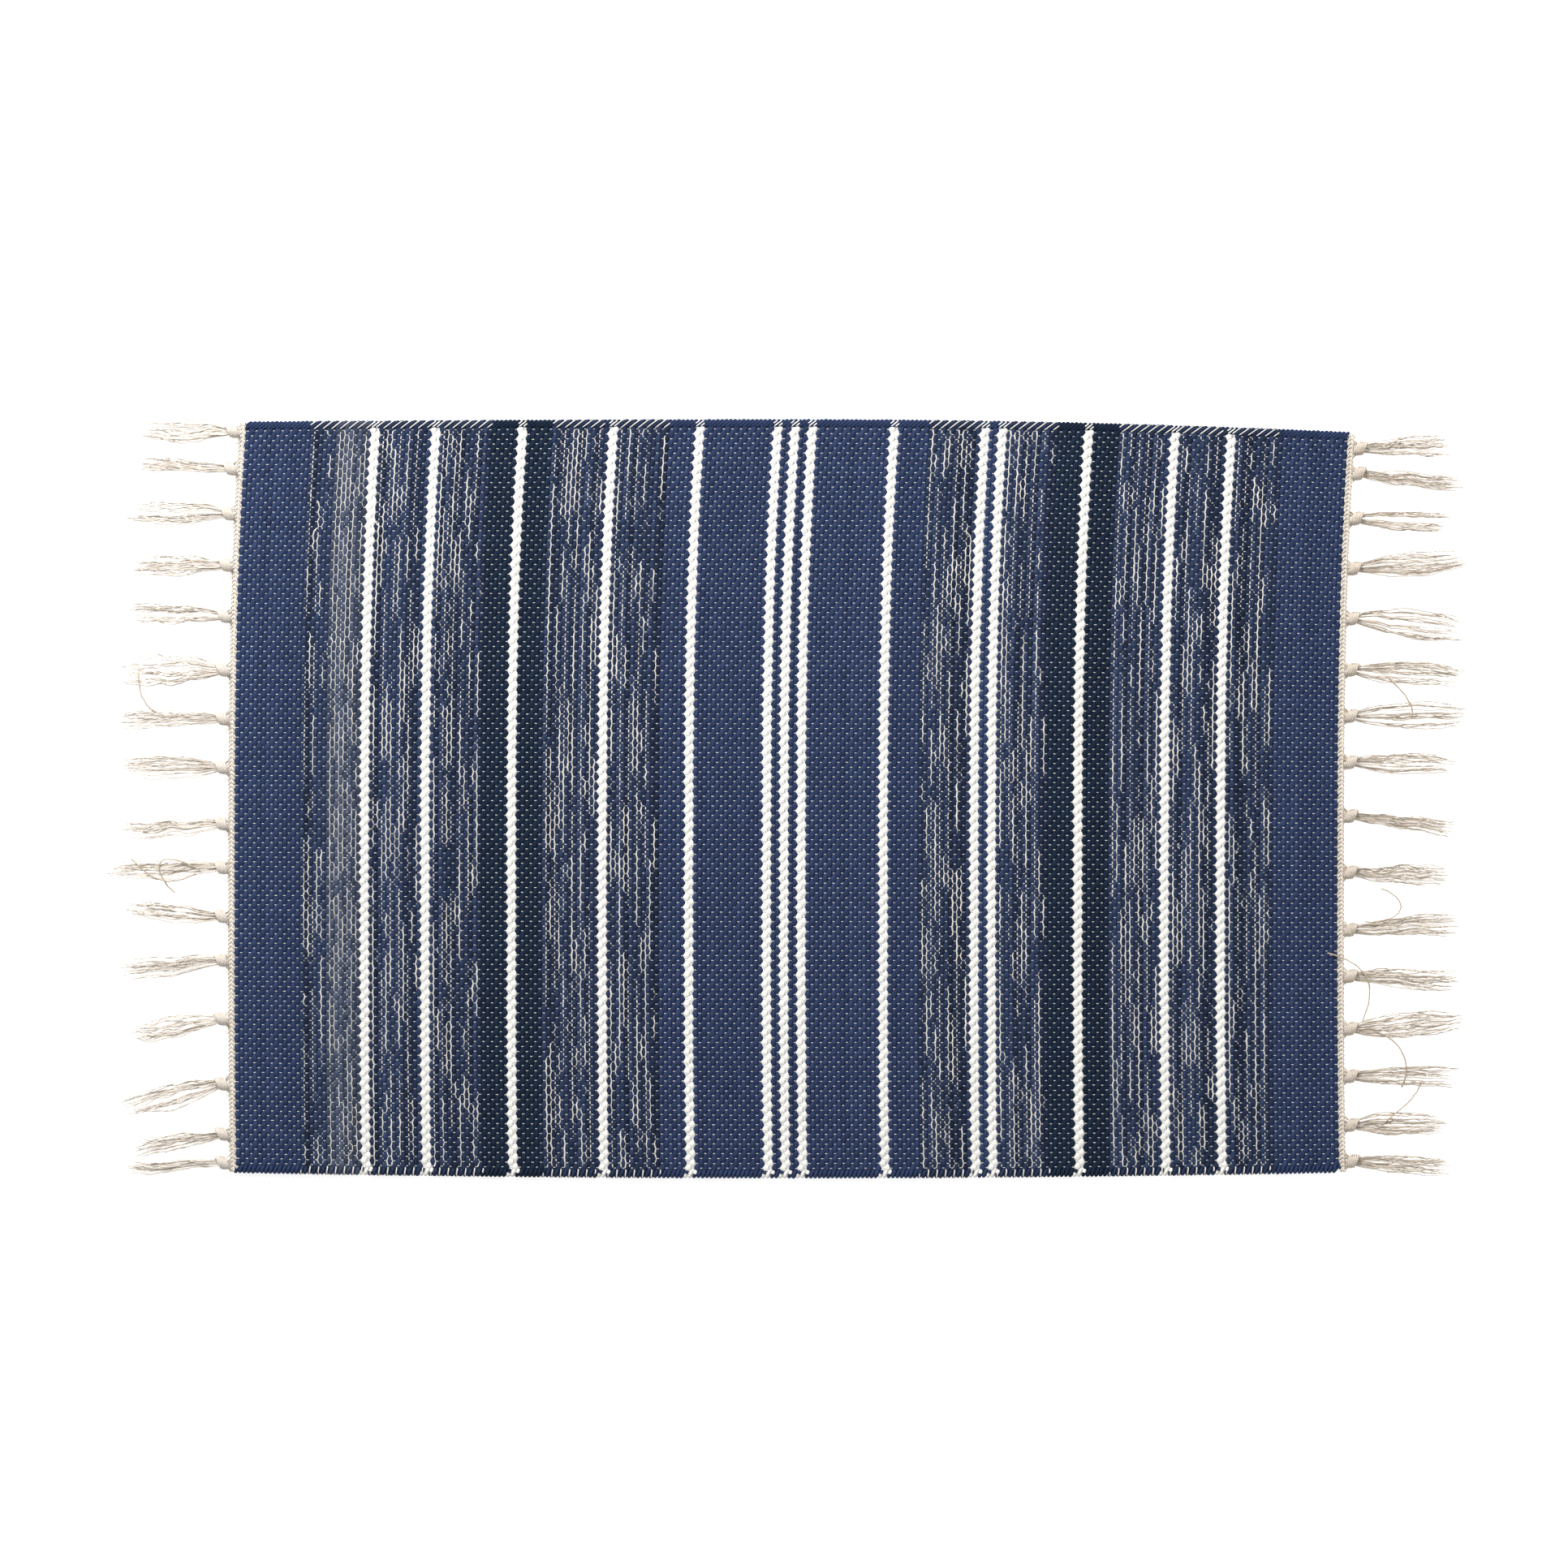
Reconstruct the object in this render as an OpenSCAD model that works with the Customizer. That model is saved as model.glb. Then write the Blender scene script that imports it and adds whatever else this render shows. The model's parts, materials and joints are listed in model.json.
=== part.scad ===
// Flat-woven cotton mat: weft stripes packed over cotton warp ends, a twined
// heading cord at each short end and sixteen knotted tassels beyond it.
// X runs along the warp, Y across it and Z up, with the underside on Z = 0.

/* [Weave] */
// Distance from one weft pick to the next
pick_pitch = 3.46; // [3:0.02:4]
// Half the width across the mat at its middle
half_w = 304; // [280:1:320]
// Thickness of the woven cloth
cloth_t = 4.5; // [3.5:0.1:6]
// Thickness of the layer of warp ends inside the weft
warp_t = 1.4; // [0.8:0.1:2]
// Width of weft that wraps the outermost warp end at each long edge
selvedge_w = 3; // [2:0.5:6]

/* [Outline] */
// How far the stripes lean along X at the upper long edge
lean_top = 9.6; // [0:0.2:16]
// How far the stripes lean along X at the lower long edge
lean_bottom = 1.5; // [0:0.5:8]
// How much the upper long edge draws in towards the right end
taper_top_right = 10.5; // [0:0.5:20]
// How much the upper long edge draws in towards the left end
taper_top_left = 2; // [0:0.5:10]
// How much the lower long edge draws in towards both ends
taper_bottom = 4.5; // [0:0.5:14]

/* [Headings] */
// Width of the twined cord along each short end
heading_w = 5.5; // [4:0.5:8]
// Height of the twined cord
heading_h = 5; // [4.5:0.1:6]

/* [Tassels] */
// Radius of the knot of each tassel
knot_r = 4.5; // [3.5:0.1:5]
// Clearance between a knot and the heading
knot_gap = 0.4; // [0.35:0.05:1]
// Width of the strands where they leave the knot
neck_w = 5; // [4:0.5:7]
// Width of the strands at their tips
tip_w = 13; // [8:0.5:13]
// Height of the bundle of strands
strands_h = 5; // [3:0.5:6]

/* [Fold] */
// Clearance between the two halves along the fold
fold_gap = 0.4; // [0.3:0.1:1]

/* [Hidden] */
// Colours of the yarns
blue_yarn = [0.19, 0.25, 0.40];
navy_yarn = [0.11, 0.16, 0.25];
melange_yarn = [0.42, 0.46, 0.55];
white_yarn = [0.97, 0.96, 0.93];
cream_yarn = [0.90, 0.86, 0.79];

// Stripes from left to right: the node each belongs to, its colour and its picks
stripes_left = [
  ["blue_border_left", blue_yarn, 15],
  ["melange_1", melange_yarn, 14],
  ["white_stripes_left", white_yarn, 2],
  ["melange_2", melange_yarn, 12],
  ["white_stripes_left", white_yarn, 2],
  ["melange_3", melange_yarn, 12],
  ["navy_left", navy_yarn, 6],
  ["white_stripes_left", white_yarn, 2],
  ["navy_left", navy_yarn, 6],
  ["melange_4", melange_yarn, 13],
  ["white_stripes_left", white_yarn, 2],
  ["melange_5", melange_yarn, 12],
  ["blue_narrow_left", blue_yarn, 6],
  ["white_stripes_left", white_yarn, 2],
  ["blue_centre_left", blue_yarn, 16],
  ["white_stripes_left", white_yarn, 2],
  ["blue_gap_left", blue_yarn, 2],
  ["white_stripes_left", white_yarn, 2]
];
stripes_right = [
  ["blue_gap_right", blue_yarn, 2],
  ["white_stripes_right", white_yarn, 2],
  ["blue_centre_right", blue_yarn, 17],
  ["white_stripes_right", white_yarn, 2],
  ["blue_narrow_right", blue_yarn, 7],
  ["melange_6", melange_yarn, 12],
  ["white_stripes_right", white_yarn, 2],
  ["blue_gap_outer", blue_yarn, 2],
  ["white_stripes_right", white_yarn, 2],
  ["melange_7", melange_yarn, 12],
  ["navy_right", navy_yarn, 6],
  ["white_stripes_right", white_yarn, 2],
  ["navy_right", navy_yarn, 6],
  ["melange_8", melange_yarn, 12],
  ["white_stripes_right", white_yarn, 2],
  ["melange_9", melange_yarn, 11],
  ["white_stripes_right", white_yarn, 2],
  ["melange_10", melange_yarn, 11],
  ["blue_border_right", blue_yarn, 15]
];
stripes = concat(stripes_left, stripes_right);

// Tassels from the upper edge down: Y of the knot, Y of the tips, reach of the tips along X
tassels_left = [
  [294, 296, 516], [264, 268, 518], [228, 228, 525], [187, 187, 523],
  [146, 148, 525], [103, 103, 531], [64, 63, 535], [25, 25, 531],
  [-20, -25, 529], [-55, -59, 540], [-94, -87, 526], [-129, -138, 530],
  [-176, -186, 522], [-228, -248, 528], [-268, -281, 519], [-291, -297, 525]
];
tassels_right = [
  [280, 283, 529], [260, 251, 537], [224, 222, 527], [184, 191, 540],
  [144, 135, 539], [103, 98, 538], [66, 67, 540], [29, 27, 531],
  [-14, -25, 531], [-59, -62, 527], [-105, -101, 536], [-142, -145, 535],
  [-184, -177, 536], [-222, -222, 535], [-261, -260, 524], [-290, -296, 526]
];

function picks_before(n) = n == 0 ? 0 : picks_before(n - 1) + stripes[n - 1][2];
weft_l = picks_before(len(stripes)) * pick_pitch;
half_l = weft_l / 2 + heading_w;
fold_at = len(stripes_left);

// X where each stripe starts, and the end of the last, before the lean is added
starts = [for (i = [0:len(stripes)]) picks_before(i) * pick_pitch - weft_l / 2];
fold_x = starts[fold_at];

// Where the stripes start to lean, as shares of the half width, and how sharply they do
lean_from_top = -0.3;
lean_power_top = 3;
lean_from_bottom = 0.45;
lean_power_bottom = 2;

// Long edges, lean of the stripes, and the points of one line of weft
edge_steps = 16;
function top_y(x) = half_w - (x > 0 ? taper_top_right : taper_top_left) * pow(x / half_l, 2);
function bottom_y(x) = -half_w + taper_bottom * pow(x / half_l, 2);
function past(share, from) = max(0, share - from) / (1 - from);
function lean(y) =
  lean_top * pow(past(y / half_w, lean_from_top), lean_power_top)
  + lean_bottom * pow(past(-y / half_w, lean_from_bottom), lean_power_bottom);
function between(a, b, t) = a + (b - a) * t;
function weft_line(x, inset = 0) = [
  for (j = [0:edge_steps])
    let (y = between(bottom_y(x) + inset, top_y(x) - inset, j / edge_steps))
      [x + lean(y), y]
];
function reversed(list) = [for (i = [len(list) - 1:-1:0]) list[i]];

// How far the slot for the warp runs past the headings, so that it cuts clean through
slot_spare = 6;

// Stations along X where the edges of the warp layer bend, none too close to its ends
station_gap = 1;
function warp_stations(x0, x1) = [for (x = starts) if (x > x0 + station_gap && x < x1 - station_gap) x];
function warp_outline(x0, x1) = let (stations = warp_stations(x0, x1))
  concat(
    weft_line(x0, selvedge_w),
    [for (x = stations) let (y = top_y(x) - selvedge_w) [x + lean(y), y]],
    reversed(weft_line(x1, selvedge_w)),
    [for (x = reversed(stations)) let (y = bottom_y(x) + selvedge_w) [x + lean(y), y]]
  );

tassel_names_left = [for (i = [1:len(tassels_left)]) str("tassel_left_", i)];
tassel_names_right = [for (i = [1:len(tassels_right)]) str("tassel_right_", i)];
stripe_names = [
  for (i = [0:len(stripes) - 1])
    if (len([for (k = [0:1:i - 1]) if (stripes[k][0] == stripes[i][0]) k]) == 0)
      stripes[i][0]
];

// The layer of warp ends between two places along X
module warp_layer(x0, x1) {
  translate([0, 0, (cloth_t - warp_t) / 2])
    linear_extrude(warp_t)
      polygon(warp_outline(x0, x1));
}

// A strip across the mat with a slot for the warp layer, open at both sides
module strip(x0, x1, height) {
  difference() {
    linear_extrude(height)
      polygon(concat(weft_line(x0), reversed(weft_line(x1))));
    warp_layer(-half_l - slot_spare, half_l + slot_spare);
  }
}

// One stripe of weft, by its place in the list
module stripe(i) {
  gap = i == fold_at - 1 ? fold_gap : 0;
  strip(starts[i], starts[i + 1] - gap, cloth_t);
}

// Every stripe of one node
module stripe_node(name) {
  for (i = [0:len(stripes) - 1])
    if (stripes[i][0] == name)
      color(stripes[i][1]) stripe(i);
}

module warp_left() {
  color(cream_yarn) warp_layer(-half_l, fold_x - fold_gap);
}

module warp_right() {
  color(cream_yarn) warp_layer(fold_x, half_l);
}

module heading_left() {
  color(cream_yarn) strip(-half_l, -half_l + heading_w, heading_h);
}

module heading_right() {
  color(cream_yarn) strip(half_l - heading_w, half_l, heading_h);
}

// How far past the middle of the knot the strands start
strand_root = 1;

// A knot with its strands, on the side -1 or 1 of the mat. The knot is turned so
// that the seam of its surface faces the mat, clear of the strands.
module tassel(place, side) {
  seam_turn = side > 0 ? 180 : 0;
  knot_x = side * (half_l + knot_gap + knot_r) + lean(place[0]);
  root_x = knot_x + side * strand_root;
  tip_x = side * place[2];
  color(cream_yarn)
    union() {
      translate([knot_x, place[0], knot_r])
        rotate([0, 0, seam_turn])
          sphere(knot_r, $fn = 48);
      linear_extrude(strands_h)
        polygon([
          [root_x, place[0] - neck_w / 2],
          [tip_x, place[1] - tip_w / 2],
          [tip_x, place[1] + tip_w / 2],
          [root_x, place[0] + neck_w / 2]
        ]);
    }
}

for (name = stripe_names)
  stripe_node(name);
warp_left();
warp_right();
heading_left();
heading_right();
for (i = [0:len(tassels_left) - 1])
  tassel(tassels_left[i], -1);
for (i = [0:len(tassels_right) - 1])
  tassel(tassels_right[i], 1);
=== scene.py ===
import json
import math
import random

import bpy
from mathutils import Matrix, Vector


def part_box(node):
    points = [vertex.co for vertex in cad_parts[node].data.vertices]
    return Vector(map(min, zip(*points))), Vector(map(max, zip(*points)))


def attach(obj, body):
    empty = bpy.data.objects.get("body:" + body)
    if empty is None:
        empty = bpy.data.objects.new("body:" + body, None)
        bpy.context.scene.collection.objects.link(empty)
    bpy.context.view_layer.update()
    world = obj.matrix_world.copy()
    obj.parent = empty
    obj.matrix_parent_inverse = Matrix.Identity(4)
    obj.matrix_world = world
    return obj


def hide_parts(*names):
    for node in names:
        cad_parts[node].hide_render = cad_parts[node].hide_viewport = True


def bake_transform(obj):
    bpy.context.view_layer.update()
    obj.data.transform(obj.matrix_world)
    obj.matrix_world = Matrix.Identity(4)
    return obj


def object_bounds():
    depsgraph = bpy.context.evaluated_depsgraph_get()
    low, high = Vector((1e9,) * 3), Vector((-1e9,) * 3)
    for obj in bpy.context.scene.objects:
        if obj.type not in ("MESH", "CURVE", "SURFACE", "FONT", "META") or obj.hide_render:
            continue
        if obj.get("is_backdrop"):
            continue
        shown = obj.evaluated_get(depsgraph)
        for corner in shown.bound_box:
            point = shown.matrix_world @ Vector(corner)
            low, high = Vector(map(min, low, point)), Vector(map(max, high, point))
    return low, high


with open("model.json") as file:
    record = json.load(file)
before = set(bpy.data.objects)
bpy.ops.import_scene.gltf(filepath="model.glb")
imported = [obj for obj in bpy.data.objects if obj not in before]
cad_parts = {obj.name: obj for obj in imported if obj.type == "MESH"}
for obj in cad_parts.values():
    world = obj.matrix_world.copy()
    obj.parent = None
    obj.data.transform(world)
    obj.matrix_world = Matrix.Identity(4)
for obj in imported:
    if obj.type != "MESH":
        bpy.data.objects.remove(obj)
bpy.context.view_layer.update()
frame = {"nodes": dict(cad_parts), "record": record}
print("stage: frame loaded")

joints = {j["name"]: j for j in frame["record"]["behaviour"]["joints"]}


# building blocks for node trees

def newTree(name, inputs, outputs, kind="GeometryNodeTree"):
    tree = bpy.data.node_groups.new(name, kind)
    for label, socketType, value in inputs:
        socket = tree.interface.new_socket(label, in_out="INPUT", socket_type=socketType)
        if value is not None:
            socket.default_value = value
    for label, socketType in outputs:
        tree.interface.new_socket(label, in_out="OUTPUT", socket_type=socketType)
    given = tree.nodes.new("NodeGroupInput")
    result = tree.nodes.new("NodeGroupOutput")
    return tree, given.outputs, result.inputs


def addNode(tree, kind, sockets=None, **settings):
    node = tree.nodes.new(kind)
    for key, value in settings.items():
        setattr(node, key, value)
    for key, value in (sockets or {}).items():
        if isinstance(value, bpy.types.NodeSocket):
            tree.links.new(value, node.inputs[key])
        else:
            node.inputs[key].default_value = value
    return node


def calc(tree, operation, *values):
    return addNode(tree, "ShaderNodeMath", dict(enumerate(values)), operation=operation).outputs[0]


def point(tree, x, y, z):
    return addNode(tree, "ShaderNodeCombineXYZ", {0: x, 1: y, 2: z}).outputs[0]


def splitPoint(tree, vector):
    return addNode(tree, "ShaderNodeSeparateXYZ", {0: vector}).outputs


def mixed(tree, share, low, high):
    return calc(tree, "ADD", low, calc(tree, "MULTIPLY", share, calc(tree, "SUBTRACT", high, low)))


def mixColours(tree, share, low, high):
    # sockets 6 and 7 of a mix node are its two colours, and output 2 is the mixed one
    return addNode(tree, "ShaderNodeMix", {0: share, 6: low, 7: high}, data_type="RGBA").outputs[2]


def wobble(tree, vector, scale, detail=1.0):
    noise = addNode(tree, "ShaderNodeTexNoise", {"Vector": vector, "Scale": scale, "Detail": detail})
    factor = noise.outputs["Fac" if "Fac" in noise.outputs else "Factor"]
    return calc(tree, "SUBTRACT", factor, 0.5)


def wander(tree, first, firstPace, second, secondPace, offset, scale=1.0, detail=1.0):
    # noise that changes with two counts, each at its own pace
    where = point(tree, calc(tree, "MULTIPLY", first, firstPace), calc(tree, "MULTIPLY", second, secondPace),
                  offset)
    return wobble(tree, where, scale, detail)


def strandMesh(tree, curve, place, radius, sides, flatness, material):
    placed = addNode(tree, "GeometryNodeSetPosition", {"Geometry": curve, "Position": place})
    upright = addNode(tree, "GeometryNodeSetCurveNormal", {"Curve": placed.outputs[0]})
    chooseNormal(upright, "Z_UP")
    ring = addNode(tree, "GeometryNodeCurvePrimitiveCircle", {"Resolution": sides, "Radius": 1.0})
    oval = addNode(tree, "GeometryNodeTransform",
                   {"Geometry": ring.outputs[0], "Scale": point(tree, flatness, 1.0, 1.0)})
    sized = addNode(tree, "GeometryNodeSetCurveRadius", {"Curve": upright.outputs[0], "Radius": radius})
    sweep = {"Curve": sized.outputs[0], "Profile Curve": oval.outputs[0], "Fill Caps": True}
    tube = addNode(tree, "GeometryNodeCurveToMesh", sweep)
    if "Scale" in tube.inputs:
        tree.links.new(radius, tube.inputs["Scale"])
    smooth = addNode(tree, "GeometryNodeSetShadeSmooth", {"Geometry": tube.outputs[0]})
    return addNode(tree, "GeometryNodeSetMaterial",
                   {"Geometry": smooth.outputs[0], "Material": material}).outputs[0]


def chooseNormal(node, mode):
    if hasattr(node, "mode"):
        node.mode = mode
    else:
        node.inputs["Mode"].default_value = mode


def strandLine(tree, points, copies):
    line = addNode(tree, "GeometryNodeCurvePrimitiveLine", {"Start": (0, 0, 0), "End": (0, 1, 0)})
    rings = addNode(tree, "GeometryNodeResampleCurve", {"Curve": line.outputs[0], "Count": points})
    many = addNode(tree, "GeometryNodeDuplicateElements",
                   {"Geometry": rings.outputs[0], "Amount": copies}, domain="SPLINE")
    along = addNode(tree, "GeometryNodeSplineParameter").outputs["Factor"]
    return many.outputs["Geometry"], many.outputs["Duplicate Index"], along


def finishTree(tree, shape, result):
    real = addNode(tree, "GeometryNodeRealizeInstances", {"Geometry": shape})
    tree.links.new(real.outputs[0], result["Geometry"])


def grow(name, tree, values):
    carrier = bpy.data.objects.new(name, bpy.data.meshes.new(name + "Start"))
    bpy.context.scene.collection.objects.link(carrier)
    modifier = carrier.modifiers.new("grow", "NODES")
    modifier.node_group = tree
    for item in tree.interface.items_tree:
        if item.item_type == "SOCKET" and item.in_out == "INPUT" and item.name in values:
            modifier[item.identifier] = values[item.name]
    depsgraph = bpy.context.evaluated_depsgraph_get()
    grown = bpy.data.meshes.new_from_object(carrier.evaluated_get(depsgraph))
    bpy.data.objects.remove(carrier)
    piece = bpy.data.objects.new(name, grown)
    grown.name = name
    bpy.context.scene.collection.objects.link(piece)
    return piece


def joined(name, parts):
    if len(parts) > 1:
        with bpy.context.temp_override(active_object=parts[0], selected_editable_objects=parts):
            bpy.ops.object.join()
    parts[0].name = name
    return parts[0]


# the mat's own frame, read from the CAD boxes

def boxLow(node):
    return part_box(node)[0]


def boxHigh(node):
    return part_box(node)[1]


borderPicks = 15
mat = {
    "weftStart": boxLow("blue_border_left").x,
    "pickPitch": (boxLow("melange_1").x - boxLow("blue_border_left").x) / borderPicks,
    "halfWidth": boxHigh("blue_gap_left").y,
    "thickness": boxHigh("blue_centre_left").z,
    "outerFace": -boxLow("heading_left").x,
    "leanBottom": 0.0015,
    "leanFromTop": -0.3,
    "leanFromBottom": 0.45,
    "leanPowerTop": 3,
    "leanPowerBottom": 2,
    "taperTopRight": 0.0105,
    "taperTopLeft": 0.002,
    "taperBottom": 0.0045,
    "ends": 154,
}
gapRight = "blue_gap_right"  # two picks wide, so the rest of its box along the mat is the lean
mat["leanTop"] = boxHigh(gapRight).x - boxLow(gapRight).x - 2 * mat["pickPitch"]
middle = mat["thickness"] / 2

# stripes from left to right: yarn, picks and the CAD node each belongs to
stripesLeft = [
    ("blue", borderPicks, "blue_border_left"), ("melange", 6, "melange_1"),
    ("haze", 8, "melange_1"), ("white", 2, "white_stripes_left"),
    ("melange", 12, "melange_2"), ("white", 2, "white_stripes_left"), ("melange", 12, "melange_3"),
    ("navy", 6, "navy_left"), ("white", 2, "white_stripes_left"), ("navy", 6, "navy_left"),
    ("melange", 13, "melange_4"), ("white", 2, "white_stripes_left"), ("melange", 12, "melange_5"),
    ("blue", 6, "blue_narrow_left"), ("white", 2, "white_stripes_left"), ("blue", 16, "blue_centre_left"),
    ("white", 2, "white_stripes_left"), ("blue", 2, "blue_gap_left"), ("white", 2, "white_stripes_left"),
]
stripesRight = [
    ("blue", 2, "blue_gap_right"), ("white", 2, "white_stripes_right"), ("blue", 17, "blue_centre_right"),
    ("white", 2, "white_stripes_right"), ("blue", 7, "blue_narrow_right"), ("melange", 12, "melange_6"),
    ("white", 2, "white_stripes_right"), ("blue", 2, "blue_gap_outer"), ("white", 2, "white_stripes_right"),
    ("melange", 12, "melange_7"), ("navy", 6, "navy_right"), ("white", 2, "white_stripes_right"),
    ("navy", 6, "navy_right"), ("melange", 12, "melange_8"), ("white", 2, "white_stripes_right"),
    ("melange", 11, "melange_9"), ("white", 2, "white_stripes_right"), ("melange", 11, "melange_10"),
    ("blue", borderPicks, "blue_border_right"),
]
picksLeft = sum(s[1] for s in stripesLeft)
picksRight = sum(s[1] for s in stripesRight)
foldStart = mat["weftStart"] + picksLeft * mat["pickPitch"]

# pieces reaching into this stretch about the fold, most of it on the moving side, stay in place instead of
# being attached to a half
foldAxis = Vector(joints["mat_fold"]["pos_m"])
foldZone = {"still": foldAxis.x + 0.006, "turned": foldAxis.x - 0.018, "spare": 0.002}


def leanAt(y):
    up = max(0.0, y / mat["halfWidth"] - mat["leanFromTop"]) / (1 - mat["leanFromTop"])
    down = max(0.0, -y / mat["halfWidth"] - mat["leanFromBottom"]) / (1 - mat["leanFromBottom"])
    return mat["leanTop"] * up ** mat["leanPowerTop"] + mat["leanBottom"] * down ** mat["leanPowerBottom"]


def onOutline(x, v, z):
    share = (x / mat["outerFace"]) ** 2
    top = mat["halfWidth"] - (mat["taperTopRight"] if x > 0 else mat["taperTopLeft"]) * share
    bottom = -mat["halfWidth"] + mat["taperBottom"] * share
    y = bottom + (top - bottom) * (v / mat["halfWidth"] + 1) / 2
    return (x + leanAt(y), y, z)


def outlineGroup():
    tree, given, result = newTree("matOutline", [("Position", "NodeSocketVector", None)],
                                  [("Position", "NodeSocketVector")])
    x, v, z = splitPoint(tree, given["Position"])
    half = mat["halfWidth"]
    share = calc(tree, "POWER", calc(tree, "ABSOLUTE", calc(tree, "DIVIDE", x, mat["outerFace"])), 2.0)
    isRight = calc(tree, "GREATER_THAN", x, 0.0)
    draw = mixed(tree, isRight, mat["taperTopLeft"], mat["taperTopRight"])
    top = calc(tree, "SUBTRACT", half, calc(tree, "MULTIPLY", draw, share))
    bottom = calc(tree, "MULTIPLY_ADD", share, mat["taperBottom"], -half)
    across = calc(tree, "MULTIPLY_ADD", v, 0.5 / half, 0.5)
    y = mixed(tree, across, bottom, top)
    spanUp, spanDown = 1 - mat["leanFromTop"], 1 - mat["leanFromBottom"]
    up = calc(tree, "MULTIPLY_ADD", y, 1 / half / spanUp, -mat["leanFromTop"] / spanUp)
    down = calc(tree, "MULTIPLY_ADD", y, -1 / half / spanDown, -mat["leanFromBottom"] / spanDown)
    rampUp = calc(tree, "POWER", calc(tree, "MAXIMUM", 0.0, up), float(mat["leanPowerTop"]))
    rampDown = calc(tree, "POWER", calc(tree, "MAXIMUM", 0.0, down), float(mat["leanPowerBottom"]))
    leanUp = calc(tree, "MULTIPLY", rampUp, mat["leanTop"])
    leanDown = calc(tree, "MULTIPLY", rampDown, mat["leanBottom"])
    lean = calc(tree, "ADD", leanUp, leanDown)
    tree.links.new(point(tree, calc(tree, "ADD", x, lean), y, z), result["Position"])
    return tree


outline = outlineGroup()


def toOutline(tree, x, v, z):
    group = tree.nodes.new("GeometryNodeGroup")
    group.node_tree = outline
    tree.links.new(point(tree, x, v, z), group.inputs[0])
    return group.outputs[0]


# cotton materials

def cottonGroup():
    inputs = [("Vector", "NodeSocketVector", None), ("Light", "NodeSocketColor", (1, 1, 1, 1)),
              ("Dark", "NodeSocketColor", (0, 0, 0, 1)), ("Fleck", "NodeSocketColor", (1, 1, 1, 1)),
              ("Fleck Share", "NodeSocketFloat", 0.0), ("Tone", "NodeSocketFloat", 0.0),
              ("Patch Scale", "NodeSocketFloat", 120.0)]
    outputs = [("Color", "NodeSocketColor"), ("Height", "NodeSocketFloat"), ("Roughness", "NodeSocketFloat")]
    tree, given, result = newTree("cottonFibre", inputs, outputs, "ShaderNodeTree")
    fibre = addNode(tree, "ShaderNodeTexNoise",
                    {"Vector": given["Vector"], "Scale": 1.0, "Detail": 3.0, "Roughness": 0.65})
    patch = addNode(tree, "ShaderNodeTexNoise",
                    {"Vector": addNode(tree, "ShaderNodeTexCoord").outputs["Object"],
                     "Scale": given["Patch Scale"], "Detail": 2.0})
    blendShare = calc(tree, "ADD", calc(tree, "MULTIPLY", fibre.outputs["Fac"], 0.75),
                      calc(tree, "MULTIPLY", patch.outputs["Fac"], 0.6))
    shade = calc(tree, "ADD", calc(tree, "SUBTRACT", blendShare, 0.2), given["Tone"])
    shade.node.use_clamp = True
    yarnColour = mixColours(tree, shade, given["Dark"], given["Light"])
    loose = addNode(tree, "ShaderNodeMapRange",
                    {"Value": fibre.outputs["Fac"], "From Min": 0.6, "From Max": 0.72})
    fleck = calc(tree, "MULTIPLY", loose.outputs[0], given["Fleck Share"])
    tree.links.new(mixColours(tree, fleck, yarnColour, given["Fleck"]), result["Color"])
    tree.links.new(fibre.outputs["Fac"], result["Height"])
    rough = addNode(tree, "ShaderNodeMapRange",
                    {"Value": fibre.outputs["Fac"], "To Min": 0.98, "To Max": 0.78})
    tree.links.new(rough.outputs[0], result["Roughness"])
    return tree


cotton = cottonGroup()


def cottonMaterial(name, look):
    material = bpy.data.materials.new(name)
    material.use_nodes = True
    tree = material.node_tree
    shader = tree.nodes["Principled BSDF"]
    place = addNode(tree, "ShaderNodeTexCoord").outputs["Object"]
    stretched = addNode(tree, "ShaderNodeMapping", {"Vector": place, "Scale": look["fibreScale"],
                                                    "Rotation": look.get("fibreTurn", (0, 0, 0.25))})
    group = tree.nodes.new("ShaderNodeGroup")
    group.node_tree = cotton
    tree.links.new(stretched.outputs[0], group.inputs["Vector"])
    for key in ("Light", "Dark", "Fleck"):
        group.inputs[key].default_value = (*look[key.lower()], 1)
    group.inputs["Fleck Share"].default_value = look.get("fleckShare", 0.0)
    group.inputs["Patch Scale"].default_value = look.get("patchScale", 120.0)
    tone = addNode(tree, "ShaderNodeAttribute", attribute_name="tone")
    tree.links.new(calc(tree, "MULTIPLY", tone.outputs["Fac"], look.get("toneSpread", 0.3)),
                   group.inputs["Tone"])
    bump = addNode(tree, "ShaderNodeBump", {"Height": group.outputs["Height"],
                                            "Strength": look.get("bump", 0.9), "Distance": 0.0005})
    tree.links.new(group.outputs["Color"], shader.inputs["Base Color"])
    tree.links.new(group.outputs["Roughness"], shader.inputs["Roughness"])
    tree.links.new(bump.outputs[0], shader.inputs["Normal"])
    shader.inputs["Specular IOR Level"].default_value = 0.2
    shader.inputs["Sheen Weight"].default_value = look.get("sheen", 0.25)
    shader.inputs["Sheen Roughness"].default_value = 0.5
    shader.inputs["Sheen Tint"].default_value = (*look["light"], 1)
    return material


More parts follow.
